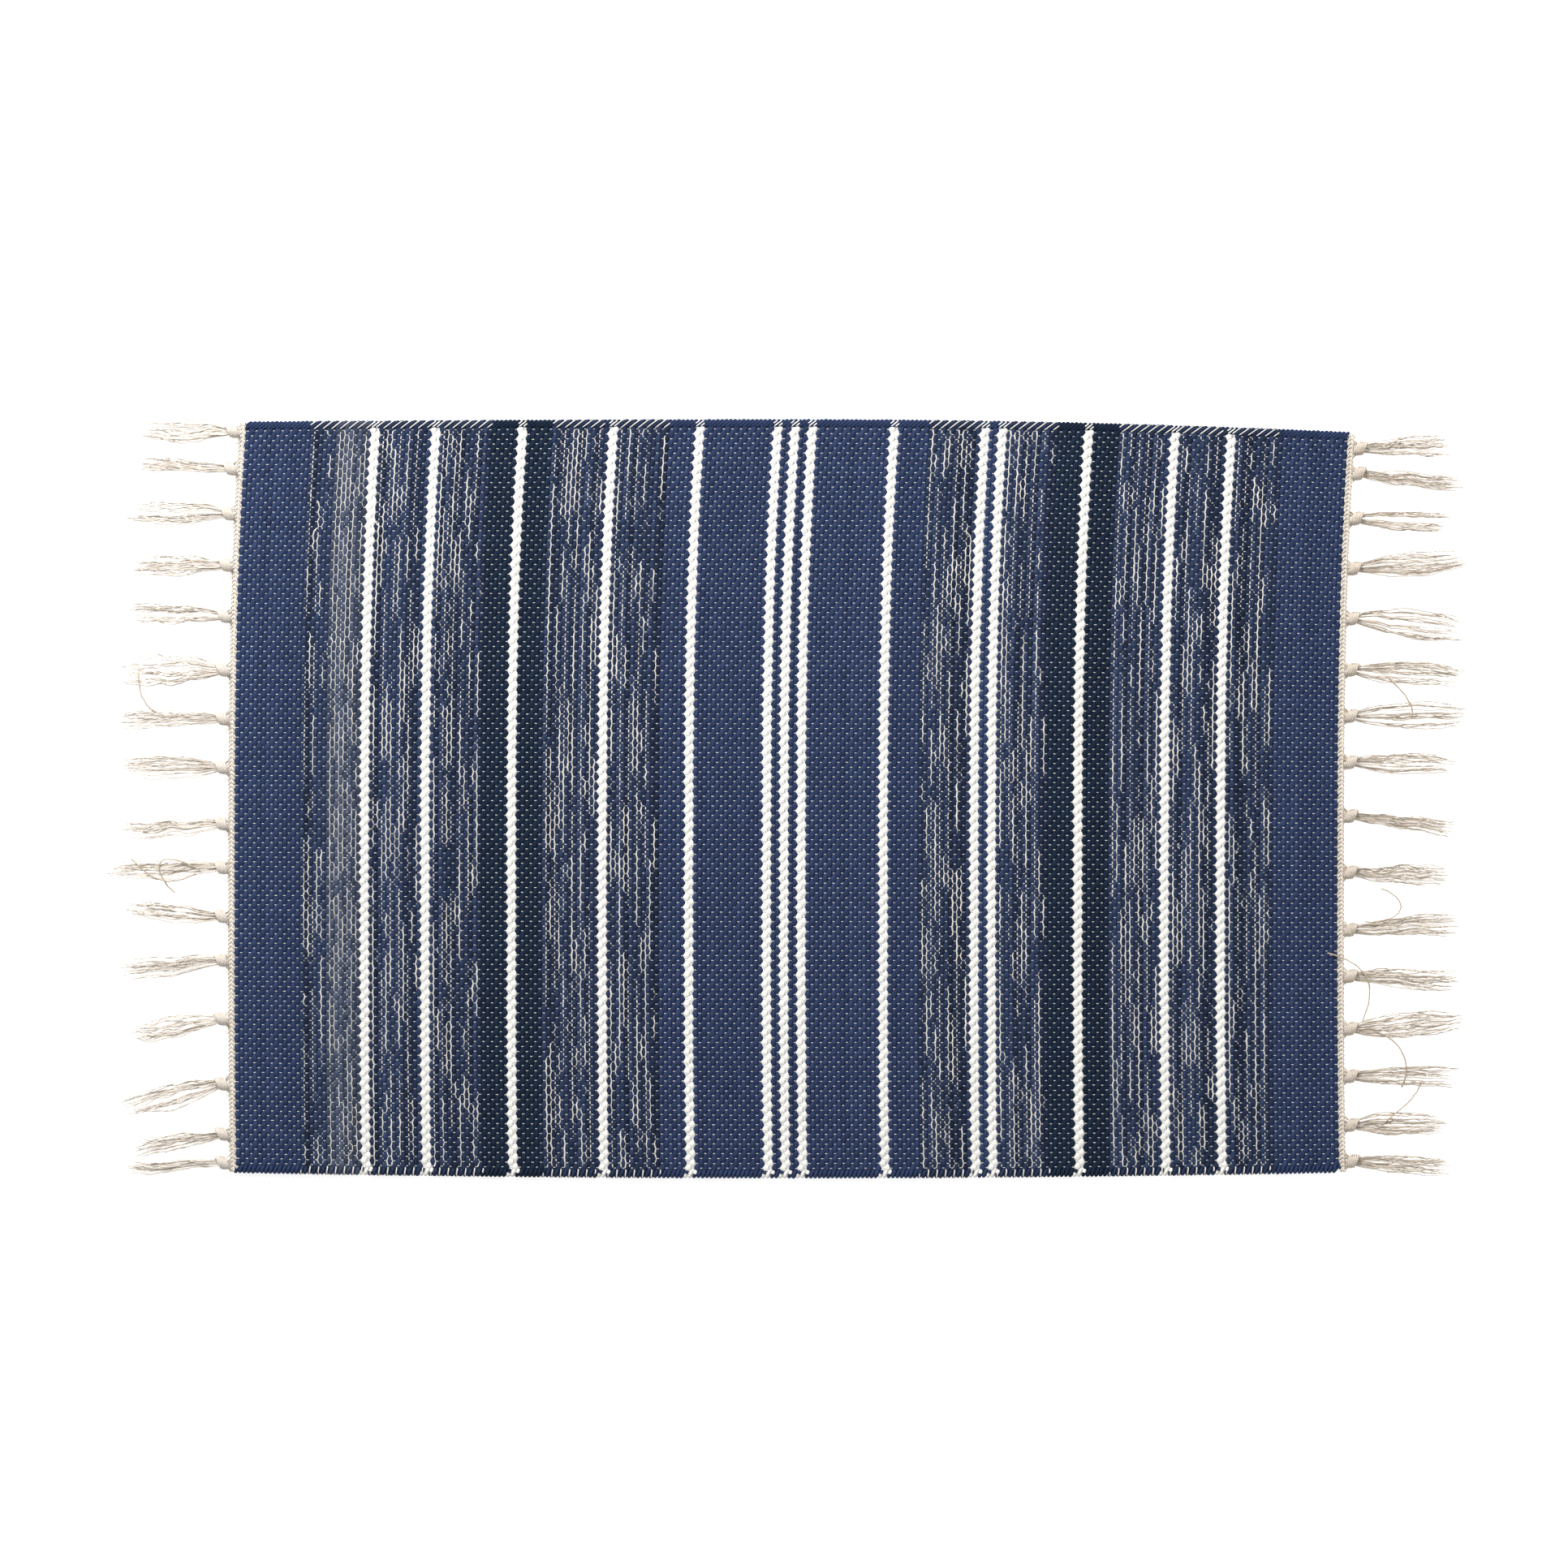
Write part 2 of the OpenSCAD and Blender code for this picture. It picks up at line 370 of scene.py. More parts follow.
acrossFibres = (2600, 420, 2600)
alongFibres = (420, 2600, 2600)
yarnLooks = {
    "blue": {"light": (0.041, 0.067, 0.16), "dark": (0.0115, 0.0215, 0.059), "fleck": (0.11, 0.145, 0.25),
             "fleckShare": 0.25, "fibreScale": acrossFibres},
    "navy": {"light": (0.0115, 0.028, 0.062), "dark": (0.003, 0.008, 0.020), "fleck": (0.06, 0.08, 0.12),
             "fleckShare": 0.2, "fibreScale": acrossFibres},
    "melange": {"light": (0.033, 0.055, 0.125), "dark": (0.006, 0.012, 0.032), "fleck": (0.3, 0.32, 0.38),
                "fleckShare": 0.15, "toneSpread": 0.7, "fibreScale": acrossFibres},
    "haze": {"light": (0.075, 0.1, 0.165), "dark": (0.022, 0.032, 0.062), "fleck": (0.5, 0.5, 0.5),
             "fleckShare": 0.35, "toneSpread": 0.6, "fibreScale": acrossFibres},
    "white": {"light": (0.99, 0.98, 0.95), "dark": (0.88, 0.86, 0.8), "fleck": (0.66, 0.58, 0.48),
              "fleckShare": 0.12, "fibreScale": acrossFibres},
    "cream": {"light": (0.98, 0.93, 0.84), "dark": (0.7, 0.61, 0.5), "fleck": (0.97, 0.94, 0.88),
              "fleckShare": 0.3, "fibreScale": alongFibres},
    "warp": {"light": (0.9, 0.88, 0.84), "dark": (0.68, 0.65, 0.6), "fleck": (0.97, 0.95, 0.9),
             "fleckShare": 0.3, "fibreScale": alongFibres},
    "strand": {"light": (0.97, 0.94, 0.89), "dark": (0.76, 0.7, 0.62), "fleck": (0.97, 0.94, 0.88),
               "fleckShare": 0.3, "fibreScale": acrossFibres},
    "stray": {"light": (0.7, 0.59, 0.47), "dark": (0.42, 0.33, 0.24), "fleck": (0.36, 0.28, 0.2),
              "fleckShare": 0.2, "fibreScale": alongFibres},
    # painted light: both fringes are one cream yarn; the left copy is painted lighter and the right copy
    # darker, as lit from the left
    "fringeLitLeft": {"light": (0.9, 0.84, 0.76), "dark": (0.62, 0.54, 0.46), "fleck": (0.45, 0.38, 0.31),
                   "fleckShare": 0.2, "fibreScale": alongFibres},
    "fringeShadedRight": {"light": (0.84, 0.76, 0.66), "dark": (0.5, 0.42, 0.34), "fleck": (0.36, 0.3, 0.24),
                    "fleckShare": 0.25, "fibreScale": alongFibres},
}
yarns = {name: cottonMaterial(name + "Cotton", look) for name, look in yarnLooks.items()}
print("stage: materials made")


# weft

weft = {
    "beadRadius": 0.0015,
    "crossRadius": 0.00112,
    "flatness": 1.66,
    "whiteFlatness": 2.1,
    "crimp": 0.0009,
    "wander": 0.0007,
    "edgeInset": 0.0062,
    "sides": 6,
}


def weftTree():
    inputs = [("Picks", "NodeSocketInt", 2), ("First Pick", "NodeSocketInt", 0),
              ("Start", "NodeSocketFloat", 0.0), ("Pick Pitch", "NodeSocketFloat", 0.003),
              ("Ends", "NodeSocketInt", 100), ("Half Width", "NodeSocketFloat", 0.3),
              ("Middle", "NodeSocketFloat", 0.002), ("Bead Radius", "NodeSocketFloat", 0.001),
              ("Crossing Radius", "NodeSocketFloat", 0.001), ("Flatness", "NodeSocketFloat", 1.5),
              ("Crimp", "NodeSocketFloat", 0.001), ("Wander", "NodeSocketFloat", 0.0005),
              ("Sides", "NodeSocketInt", 6), ("Yarn", "NodeSocketMaterial", None)]
    tree, given, result = newTree("weftBand", inputs, [("Geometry", "NodeSocketGeometry")])
    points = calc(tree, "MULTIPLY_ADD", given["Ends"], 2.0, 1.0)
    curve, copy, along = strandLine(tree, points, given["Picks"])
    pick = calc(tree, "ADD", copy, given["First Pick"])
    end = calc(tree, "MULTIPLY", along, given["Ends"])
    phase = calc(tree, "MULTIPLY", calc(tree, "ADD", calc(tree, "SUBTRACT", end, 0.5), pick), math.pi)
    wave = calc(tree, "COSINE", phase)
    bead = calc(tree, "ABSOLUTE", wave)
    drift = wander(tree, pick, 0.31, end, 0.045, 0.0)
    jitter = wander(tree, pick, 7.13, end, 0.8, 4.0)
    x = calc(tree, "MULTIPLY_ADD", calc(tree, "ADD", copy, 0.5), given["Pick Pitch"], given["Start"])
    x = calc(tree, "ADD", x, calc(tree, "MULTIPLY", drift, given["Wander"]))
    v = calc(tree, "MULTIPLY", calc(tree, "MULTIPLY_ADD", along, 2.0, -1.0), given["Half Width"])
    lift = calc(tree, "MULTIPLY", wave, given["Crimp"])
    z = calc(tree, "ADD", given["Middle"], lift)
    radius = mixed(tree, bead, given["Crossing Radius"], given["Bead Radius"])
    radius = calc(tree, "MULTIPLY", radius, calc(tree, "MULTIPLY_ADD", jitter, 0.22, 1.0))
    tone = addNode(tree, "FunctionNodeRandomValue", {"ID": pick, "Seed": 3}, data_type="FLOAT")
    toned = addNode(tree, "GeometryNodeStoreNamedAttribute",
                    {"Geometry": curve, "Name": "tone",
                     "Value": calc(tree, "ADD", calc(tree, "SUBTRACT", tone.outputs[1], 0.5), jitter)},
                    data_type="FLOAT", domain="POINT")
    shape = strandMesh(tree, toned.outputs[0], toOutline(tree, x, v, z), radius, given["Sides"],
                       given["Flatness"], given["Yarn"])
    finishTree(tree, shape, result)
    return tree


# each pick turns back round the outermost warp ends, so a slanted wrap covers the long edges
selvedge = {
    "radius": 0.00125,
    "inward": 0.0036,
    "reach": 0.0026,
    "rise": 0.0009,
    "whiteRadius": 0.0008,
    "whiteReach": 0.003,
    "whiteRise": 0.0014,
    "strandReach": 0.0034,
    "strandRise": 0.002,
    "slantUpper": 0.0062,
    "slantLower": -0.0034,
    "pointsPerTurn": 10,
}


def selvedgeTree():
    inputs = [("Turns", "NodeSocketInt", 2), ("Start", "NodeSocketFloat", 0.0),
              ("Pick Pitch", "NodeSocketFloat", 0.003), ("Edge", "NodeSocketFloat", 0.3),
              ("Middle", "NodeSocketFloat", 0.002), ("Radius", "NodeSocketFloat", 0.001),
              ("Reach", "NodeSocketFloat", 0.002), ("Rise", "NodeSocketFloat", 0.001),
              ("Slant", "NodeSocketFloat", 0.004), ("Points Per Turn", "NodeSocketInt", 10),
              ("Yarn", "NodeSocketMaterial", None)]
    tree, given, result = newTree("selvedgeWrap", inputs, [("Geometry", "NodeSocketGeometry")])
    points = calc(tree, "ADD", calc(tree, "MULTIPLY", given["Turns"], given["Points Per Turn"]), 1.0)
    curve, copy, along = strandLine(tree, points, 1)
    turn = calc(tree, "MULTIPLY", along, given["Turns"])
    angle = calc(tree, "MULTIPLY", turn, 2 * math.pi)
    outward = calc(tree, "SINE", angle)
    uneven = wobble(tree, point(tree, calc(tree, "ADD", turn, calc(tree, "MULTIPLY", given["Start"], 700.0)),
                                given["Edge"], 0.0), 0.7)
    x = calc(tree, "MULTIPLY_ADD", turn, given["Pick Pitch"], given["Start"])
    x = calc(tree, "ADD", x, calc(tree, "MULTIPLY", outward, calc(tree, "MULTIPLY", given["Slant"], 0.5)))
    side = calc(tree, "SIGN", given["Edge"])
    reach = calc(tree, "MULTIPLY", given["Reach"], calc(tree, "MULTIPLY_ADD", uneven, 0.25, 1.0))
    v = calc(tree, "ADD", given["Edge"], calc(tree, "MULTIPLY", calc(tree, "MULTIPLY", outward, reach), side))
    z = calc(tree, "MULTIPLY_ADD", calc(tree, "COSINE", angle), given["Rise"], given["Middle"])
    radius = calc(tree, "MULTIPLY", given["Radius"], calc(tree, "MULTIPLY_ADD", uneven, 0.3, 1.0))
    shape = strandMesh(tree, curve, toOutline(tree, x, v, z), radius, 6, 1.0, given["Yarn"])
    finishTree(tree, shape, result)
    return tree


# warp ends

warp = {"radius": 0.00029, "crimp": 0.00066, "sway": 0.0012, "sides": 4}


def warpTree():
    inputs = [("Ends", "NodeSocketInt", 100), ("Picks", "NodeSocketInt", 100),
              ("First Pick", "NodeSocketInt", 0), ("Start", "NodeSocketFloat", 0.0),
              ("Pick Pitch", "NodeSocketFloat", 0.003), ("Half Width", "NodeSocketFloat", 0.3),
              ("Middle", "NodeSocketFloat", 0.002), ("Radius", "NodeSocketFloat", 0.0005),
              ("Crimp", "NodeSocketFloat", 0.0007), ("Last Pick", "NodeSocketInt", 254),
              ("Sides", "NodeSocketInt", 4), ("Yarn", "NodeSocketMaterial", None)]
    tree, given, result = newTree("warpEnds", inputs, [("Geometry", "NodeSocketGeometry")])
    curve, copy, along = strandLine(tree, given["Picks"], given["Ends"])
    step = calc(tree, "MULTIPLY", along, calc(tree, "SUBTRACT", given["Picks"], 1.0))
    pick = calc(tree, "ADD", step, given["First Pick"])
    wave = calc(tree, "COSINE", calc(tree, "MULTIPLY", calc(tree, "ADD", copy, pick), math.pi))
    x = calc(tree, "MULTIPLY_ADD", calc(tree, "ADD", step, 0.5), given["Pick Pitch"], given["Start"])
    sway = wander(tree, pick, 0.12, copy, 0.6, 0.0)
    lane = calc(tree, "DIVIDE", calc(tree, "ADD", copy, 0.5), given["Ends"])
    v = calc(tree, "MULTIPLY", calc(tree, "MULTIPLY_ADD", lane, 2.0, -1.0), given["Half Width"])
    v = calc(tree, "MULTIPLY_ADD", sway, warp["sway"], v)
    uneven = wander(tree, pick, 2.3, copy, 5.7, 9.0)
    crimp = calc(tree, "MULTIPLY", given["Crimp"], calc(tree, "MULTIPLY_ADD", uneven, 0.9, 1.0))
    outside = calc(tree, "ADD", calc(tree, "LESS_THAN", pick, -0.5),
                   calc(tree, "GREATER_THAN", pick, calc(tree, "ADD", given["Last Pick"], 0.5)))
    crimp = calc(tree, "MULTIPLY", crimp, calc(tree, "SUBTRACT", 1.0, calc(tree, "MULTIPLY", outside, 0.8)))
    z = calc(tree, "SUBTRACT", given["Middle"], calc(tree, "MULTIPLY", wave, crimp))
    radius = calc(tree, "MULTIPLY", given["Radius"], calc(tree, "MULTIPLY_ADD", uneven, 0.5, 1.0))
    shape = strandMesh(tree, curve, toOutline(tree, x, v, z), radius, given["Sides"], 1.0, given["Yarn"])
    finishTree(tree, shape, result)
    return tree


# thin cream strands laid in with the melange picks

strand = {
    "laidOn": ("melange", "haze"),
    "radius": 0.00048,
    "fineRadius": 0.00032,
    "thinnest": 0.00016,
    "zigzag": 0.00034,
    "sidestep": 0.0012,
    "lift": 0.00165,
    "sink": 0.0025,
    "presence": -0.09,
    "suddenness": 12.0,
    "sides": 4,
}


def strandTree():
    inputs = [("Strands", "NodeSocketInt", 10), ("First Pick", "NodeSocketInt", 0),
              ("Start", "NodeSocketFloat", 0.0), ("Pick Pitch", "NodeSocketFloat", 0.003),
              ("Ends", "NodeSocketInt", 100), ("Half Width", "NodeSocketFloat", 0.3),
              ("Middle", "NodeSocketFloat", 0.002), ("Radius", "NodeSocketFloat", 0.0005),
              ("Zigzag", "NodeSocketFloat", 0.0005), ("Lift", "NodeSocketFloat", 0.0015),
              ("Sink", "NodeSocketFloat", 0.003), ("Presence", "NodeSocketFloat", 0.0),
              ("Suddenness", "NodeSocketFloat", 12.0), ("Spacing", "NodeSocketFloat", 1.0),
              ("Face", "NodeSocketFloat", 1.0),
              ("Seed", "NodeSocketFloat", 0.0), ("Sides", "NodeSocketInt", 4),
              ("Yarn", "NodeSocketMaterial", None)]
    tree, given, result = newTree("melangeStrands", inputs, [("Geometry", "NodeSocketGeometry")])
    curve, copy, along = strandLine(tree, given["Ends"], given["Strands"])
    lane = calc(tree, "ROUND", calc(tree, "MULTIPLY", copy, given["Spacing"]))
    pick = calc(tree, "ADD", lane, given["First Pick"])
    end = calc(tree, "MULTIPLY_ADD", along, calc(tree, "SUBTRACT", given["Ends"], 1.0), 0.5)
    where = point(tree, calc(tree, "MULTIPLY_ADD", pick, 3.7, given["Seed"]),
                  calc(tree, "MULTIPLY", end, 0.07), given["Seed"])
    hop = calc(tree, "ROUND", calc(tree, "MULTIPLY", wobble(tree, where, 1.0), 1.9))
    phase = calc(tree, "SUBTRACT", calc(tree, "ADD", end, calc(tree, "ADD", pick, hop)), 0.5)
    drag = calc(tree, "MULTIPLY_ADD", wobble(tree, where, 2.3), 1.8, 1.0)
    swing = calc(tree, "MULTIPLY", calc(tree, "COSINE", calc(tree, "MULTIPLY", phase, math.pi)),
                 calc(tree, "MULTIPLY", given["Zigzag"], drag))
    patch = wander(tree, pick, 2.7, end, 0.052, given["Seed"], detail=2.0)
    thickNoise = wander(tree, pick, 1.9, end, 0.35, 2.0)
    x = calc(tree, "MULTIPLY_ADD", calc(tree, "ADD", calc(tree, "ADD", lane, 1.0), hop), given["Pick Pitch"],
             given["Start"])
    x = calc(tree, "MULTIPLY_ADD", swing, given["Face"], x)
    sidestep = wander(tree, pick, 4.1, end, 0.45, calc(tree, "ADD", given["Seed"], 31.0))
    x = calc(tree, "MULTIPLY_ADD", sidestep, strand["sidestep"], x)
    across = calc(tree, "DIVIDE", end, given["Ends"])
    v = calc(tree, "MULTIPLY", calc(tree, "MULTIPLY_ADD", across, 2.0, -1.0), given["Half Width"])
    hidden = calc(tree, "MULTIPLY", calc(tree, "SUBTRACT", patch, given["Presence"]), given["Suddenness"])
    hidden = calc(tree, "MINIMUM", 1.0, calc(tree, "MAXIMUM", 0.0, hidden))
    height = calc(tree, "SUBTRACT", given["Lift"], calc(tree, "MULTIPLY", hidden, given["Sink"]))
    z = calc(tree, "MULTIPLY_ADD", height, given["Face"], given["Middle"])
    radius = calc(tree, "MULTIPLY", given["Radius"], calc(tree, "MULTIPLY_ADD", thickNoise, 2.6, 1.05))
    radius = calc(tree, "MAXIMUM", strand["thinnest"], radius)
    shape = strandMesh(tree, curve, toOutline(tree, x, v, z), radius, given["Sides"], 1.0, given["Yarn"])
    finishTree(tree, shape, result)
    return tree


weftBand = weftTree()
selvedgeWrap = selvedgeTree()
warpEnds = warpTree()
melangeStrands = strandTree()


# edging is the yarn that wraps the stripe's upper end; a white stripe borrows its neighbour's
def growStripe(yarn, picks, node, firstPick, index, edging):
    start = mat["weftStart"] + firstPick * mat["pickPitch"]
    shared = {"Start": start, "Pick Pitch": mat["pickPitch"], "Middle": middle}
    wrap = {**shared, "Turns": picks, "Points Per Turn": selvedge["pointsPerTurn"]}
    slants = ((1, selvedge["slantUpper"]), (-1, selvedge["slantLower"]))
    edge = mat["halfWidth"] - selvedge["inward"]
    inner = mat["halfWidth"] - weft["edgeInset"]
    ends = mat["ends"]
    name = f"{node}_part{index}"
    parts = [grow(name, weftBand, {
        **shared, "Picks": picks, "First Pick": firstPick, "Ends": ends, "Half Width": inner,
        "Bead Radius": weft["beadRadius"], "Crossing Radius": weft["crossRadius"],
        "Flatness": weft["whiteFlatness" if yarn == "white" else "flatness"],
        "Crimp": weft["crimp"], "Wander": weft["wander"],
        "Sides": weft["sides"], "Yarn": yarns[yarn]})]
    for side, slant in slants:
        parts.append(grow(name + "Wrap", selvedgeWrap, {
            **wrap, "Edge": side * edge, "Radius": selvedge["radius"], "Reach": selvedge["reach"],
            "Rise": selvedge["rise"], "Slant": slant, "Yarn": yarns[edging if side > 0 else yarn]}))
    if edging != yarn:
        parts.append(grow(name + "WrapEnd", selvedgeWrap, {
            **wrap, "Edge": edge, "Radius": selvedge["whiteRadius"], "Reach": selvedge["whiteReach"],
            "Rise": selvedge["whiteRise"], "Slant": selvedge["slantUpper"], "Yarn": yarns[yarn]}))
    if yarn in strand["laidOn"]:
        laid = picks - 1
        for side, slant in slants:
            parts.append(grow(name + "WrapStrand", selvedgeWrap, {
                **wrap, "Pick Pitch": 2 * mat["pickPitch"], "Turns": picks // 2, "Edge": side * edge,
                "Radius": strand["radius"], "Reach": selvedge["strandReach"],
                "Rise": selvedge["strandRise"], "Slant": slant, "Yarn": yarns["strand"]}))
        # each set of strands has a face of the cloth, a seed, a count and a spacing in picks
        sets = ((1, 0.0, laid, 1.0), (1, 5.0, laid // 3, 3.0), (-1, 9.0, laid // 2, 2.0))
        if yarn == "haze":
            sets += ((1, 17.0, laid, 1.0), (1, 23.0, laid, 1.0))
        for face, seed, strands, spacing in sets:
            parts.append(grow(name + "Strands", melangeStrands, {
                **shared, "Strands": strands, "First Pick": firstPick, "Ends": ends, "Half Width": inner,
                "Radius": strand["fineRadius" if yarn == "haze" else "radius"], "Zigzag": strand["zigzag"],
                "Lift": strand["lift"], "Sink": strand["sink"], "Presence": strand["presence"],
                "Suddenness": strand["suddenness"], "Spacing": spacing, "Face": float(face), "Seed": seed,
                "Sides": strand["sides"], "Yarn": yarns["strand"]}))
    return parts


def bendAtFold(piece):
    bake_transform(piece)


def inFoldZone(node):
    spare = foldZone["spare"]
    return boxHigh(node).x > foldZone["turned"] - spare and boxLow(node).x < foldZone["still"] + spare


def place(piece, node, body):
    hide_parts(node)
    if inFoldZone(node):
        bendAtFold(piece)
    else:
        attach(piece, body)


stripeParts, stripeBody = {}, {}
firstPick = 0
for body, stripes in (("left_half", stripesLeft), ("right_half", stripesRight)):
    for index, (yarn, picks, node) in enumerate(stripes):
        edging = stripes[max(0, index - 1)][0] if yarn == "white" else yarn
        stripeParts.setdefault(node, []).extend(growStripe(yarn, picks, node, firstPick, index, edging))
        stripeBody[node] = body
        firstPick += picks
for node, parts in stripeParts.items():
    place(joined(node + "_yarn", parts), node, stripeBody[node])
print("stage: weft woven")

warpHalves = (
    ("warp_left", "left_half", picksLeft + 1, -1, mat["weftStart"] - mat["pickPitch"]),
    ("warp_right", "right_half", picksRight + 1, picksLeft, foldStart),
)
for node, body, picks, first, start in warpHalves:
    piece = grow(node + "_ends", warpEnds, {
        "Ends": mat["ends"], "Picks": picks, "First Pick": first, "Start": start,
        "Pick Pitch": mat["pickPitch"], "Half Width": mat["halfWidth"] - weft["edgeInset"],
        "Middle": middle, "Radius": warp["radius"], "Crimp": warp["crimp"],
        "Last Pick": picksLeft + picksRight - 1, "Sides": warp["sides"],
        "Yarn": yarns["warp"]})
    place(piece, node, body)
print("stage: warp laid")


# twined heading cords

heading = {
    "strandRadius": 0.00062,
    "twistRadius": 0.00082,
    "lay": 0.0068,
    "pointsPerTurn": 9,
    "rowGap": 0.0026,
    "rise": 0.0004,
    "halfWidth": 0.00275,
    "endInset": 0.001,
}


def headingTree():
    inputs = [("Length", "NodeSocketFloat", 0.6), ("X", "NodeSocketFloat", 0.4),
              ("Row Gap", "NodeSocketFloat", 0.0027), ("Middle", "NodeSocketFloat", 0.0025),
              ("Strand Radius", "NodeSocketFloat", 0.0008), ("Twist Radius", "NodeSocketFloat", 0.0008),
              ("Turns", "NodeSocketInt", 80), ("Points Per Turn", "NodeSocketInt", 9),
              ("Yarn", "NodeSocketMaterial", None)]
    tree, given, result = newTree("headingCord", inputs, [("Geometry", "NodeSocketGeometry")])
    points = calc(tree, "ADD", calc(tree, "MULTIPLY", given["Turns"], given["Points Per Turn"]), 1.0)
    curve, copy, along = strandLine(tree, points, 4)
    row = calc(tree, "FLOOR", calc(tree, "MULTIPLY", copy, 0.5))
    ply = calc(tree, "SUBTRACT", copy, calc(tree, "MULTIPLY", row, 2.0))
    handed = calc(tree, "MULTIPLY_ADD", row, 2.0, -1.0)
    turn = calc(tree, "MULTIPLY_ADD", along, given["Turns"], calc(tree, "MULTIPLY", ply, 0.5))
    angle = calc(tree, "MULTIPLY", calc(tree, "MULTIPLY", turn, 2 * math.pi), handed)
    uneven = wobble(tree, point(tree, turn, calc(tree, "MULTIPLY", copy, 3.1), given["X"]), 0.6)
    rowX = calc(tree, "MULTIPLY", calc(tree, "SUBTRACT", row, 0.5), given["Row Gap"])
    reach = calc(tree, "MULTIPLY", given["Twist Radius"], calc(tree, "MULTIPLY_ADD", uneven, 0.8, 1.0))
    x = calc(tree, "ADD", calc(tree, "ADD", given["X"], rowX),
             calc(tree, "MULTIPLY", calc(tree, "COSINE", angle), reach))
    v = calc(tree, "MULTIPLY", calc(tree, "SUBTRACT", along, 0.5), given["Length"])
    z = calc(tree, "MULTIPLY_ADD", calc(tree, "SINE", angle), reach, given["Middle"])
    radius = calc(tree, "MULTIPLY", given["Strand Radius"], calc(tree, "MULTIPLY_ADD", uneven, 0.4, 1.0))
    shape = strandMesh(tree, curve, toOutline(tree, x, v, z), radius, 6, 1.0, given["Yarn"])
    finishTree(tree, shape, result)
    return tree


headingCord = headingTree()
headingX = mat["outerFace"] - heading["halfWidth"]
for node, side in (("heading_left", -1), ("heading_right", 1)):
    length = 2 * (mat["halfWidth"] - heading["endInset"])
    piece = grow(node + "_cord", headingCord, {
        "Length": length, "X": side * headingX, "Row Gap": heading["rowGap"],
        "Middle": middle + heading["rise"], "Strand Radius": heading["strandRadius"],
        "Twist Radius": heading["twistRadius"], "Turns": round(length / heading["lay"]),
        "Points Per Turn": heading["pointsPerTurn"], "Yarn": yarns["cream"]})
    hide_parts(node)
    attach(piece, "left_half" if side < 0 else "right_half")
print("stage: headings twined")


# knotted tassels

tassel = {
    "strands": 24,
    "points": 34,
    "strandRadius": 0.0004,
    "fanLength": 0.0055,
    "fanHalf": 0.0075,
    "neckHalf": 0.0022,
    "tipHalf": (0.0055, 0.0095),
    "waviness": (0.0014, 0.003),
    "belly": (-0.001, 0.0055),
    "kink": 0.0022,
    "knotRadius": 0.0049,
    "knotYarn": 0.00112,
    "knotTurns": 5,
    "knotLength": 0.0078,
    "tipBoxHalf": 0.0065,
    "lieHeight": (0.0019, 0.0009),
    "lieSway": 0.003,
    "rootHeight": (0.0027, 0.0006),
    "knotHeightSpread": 0.0015,
    "knotPull": 0.014,
    "knotPointsPerTurn": 9.0,
    "knotSlant": 0.0021,
    "knotFlatness": 0.7,
    "tipTaper": 0.65,
    "bendFrom": 0.005,
    "bendTo": 0.001,
}


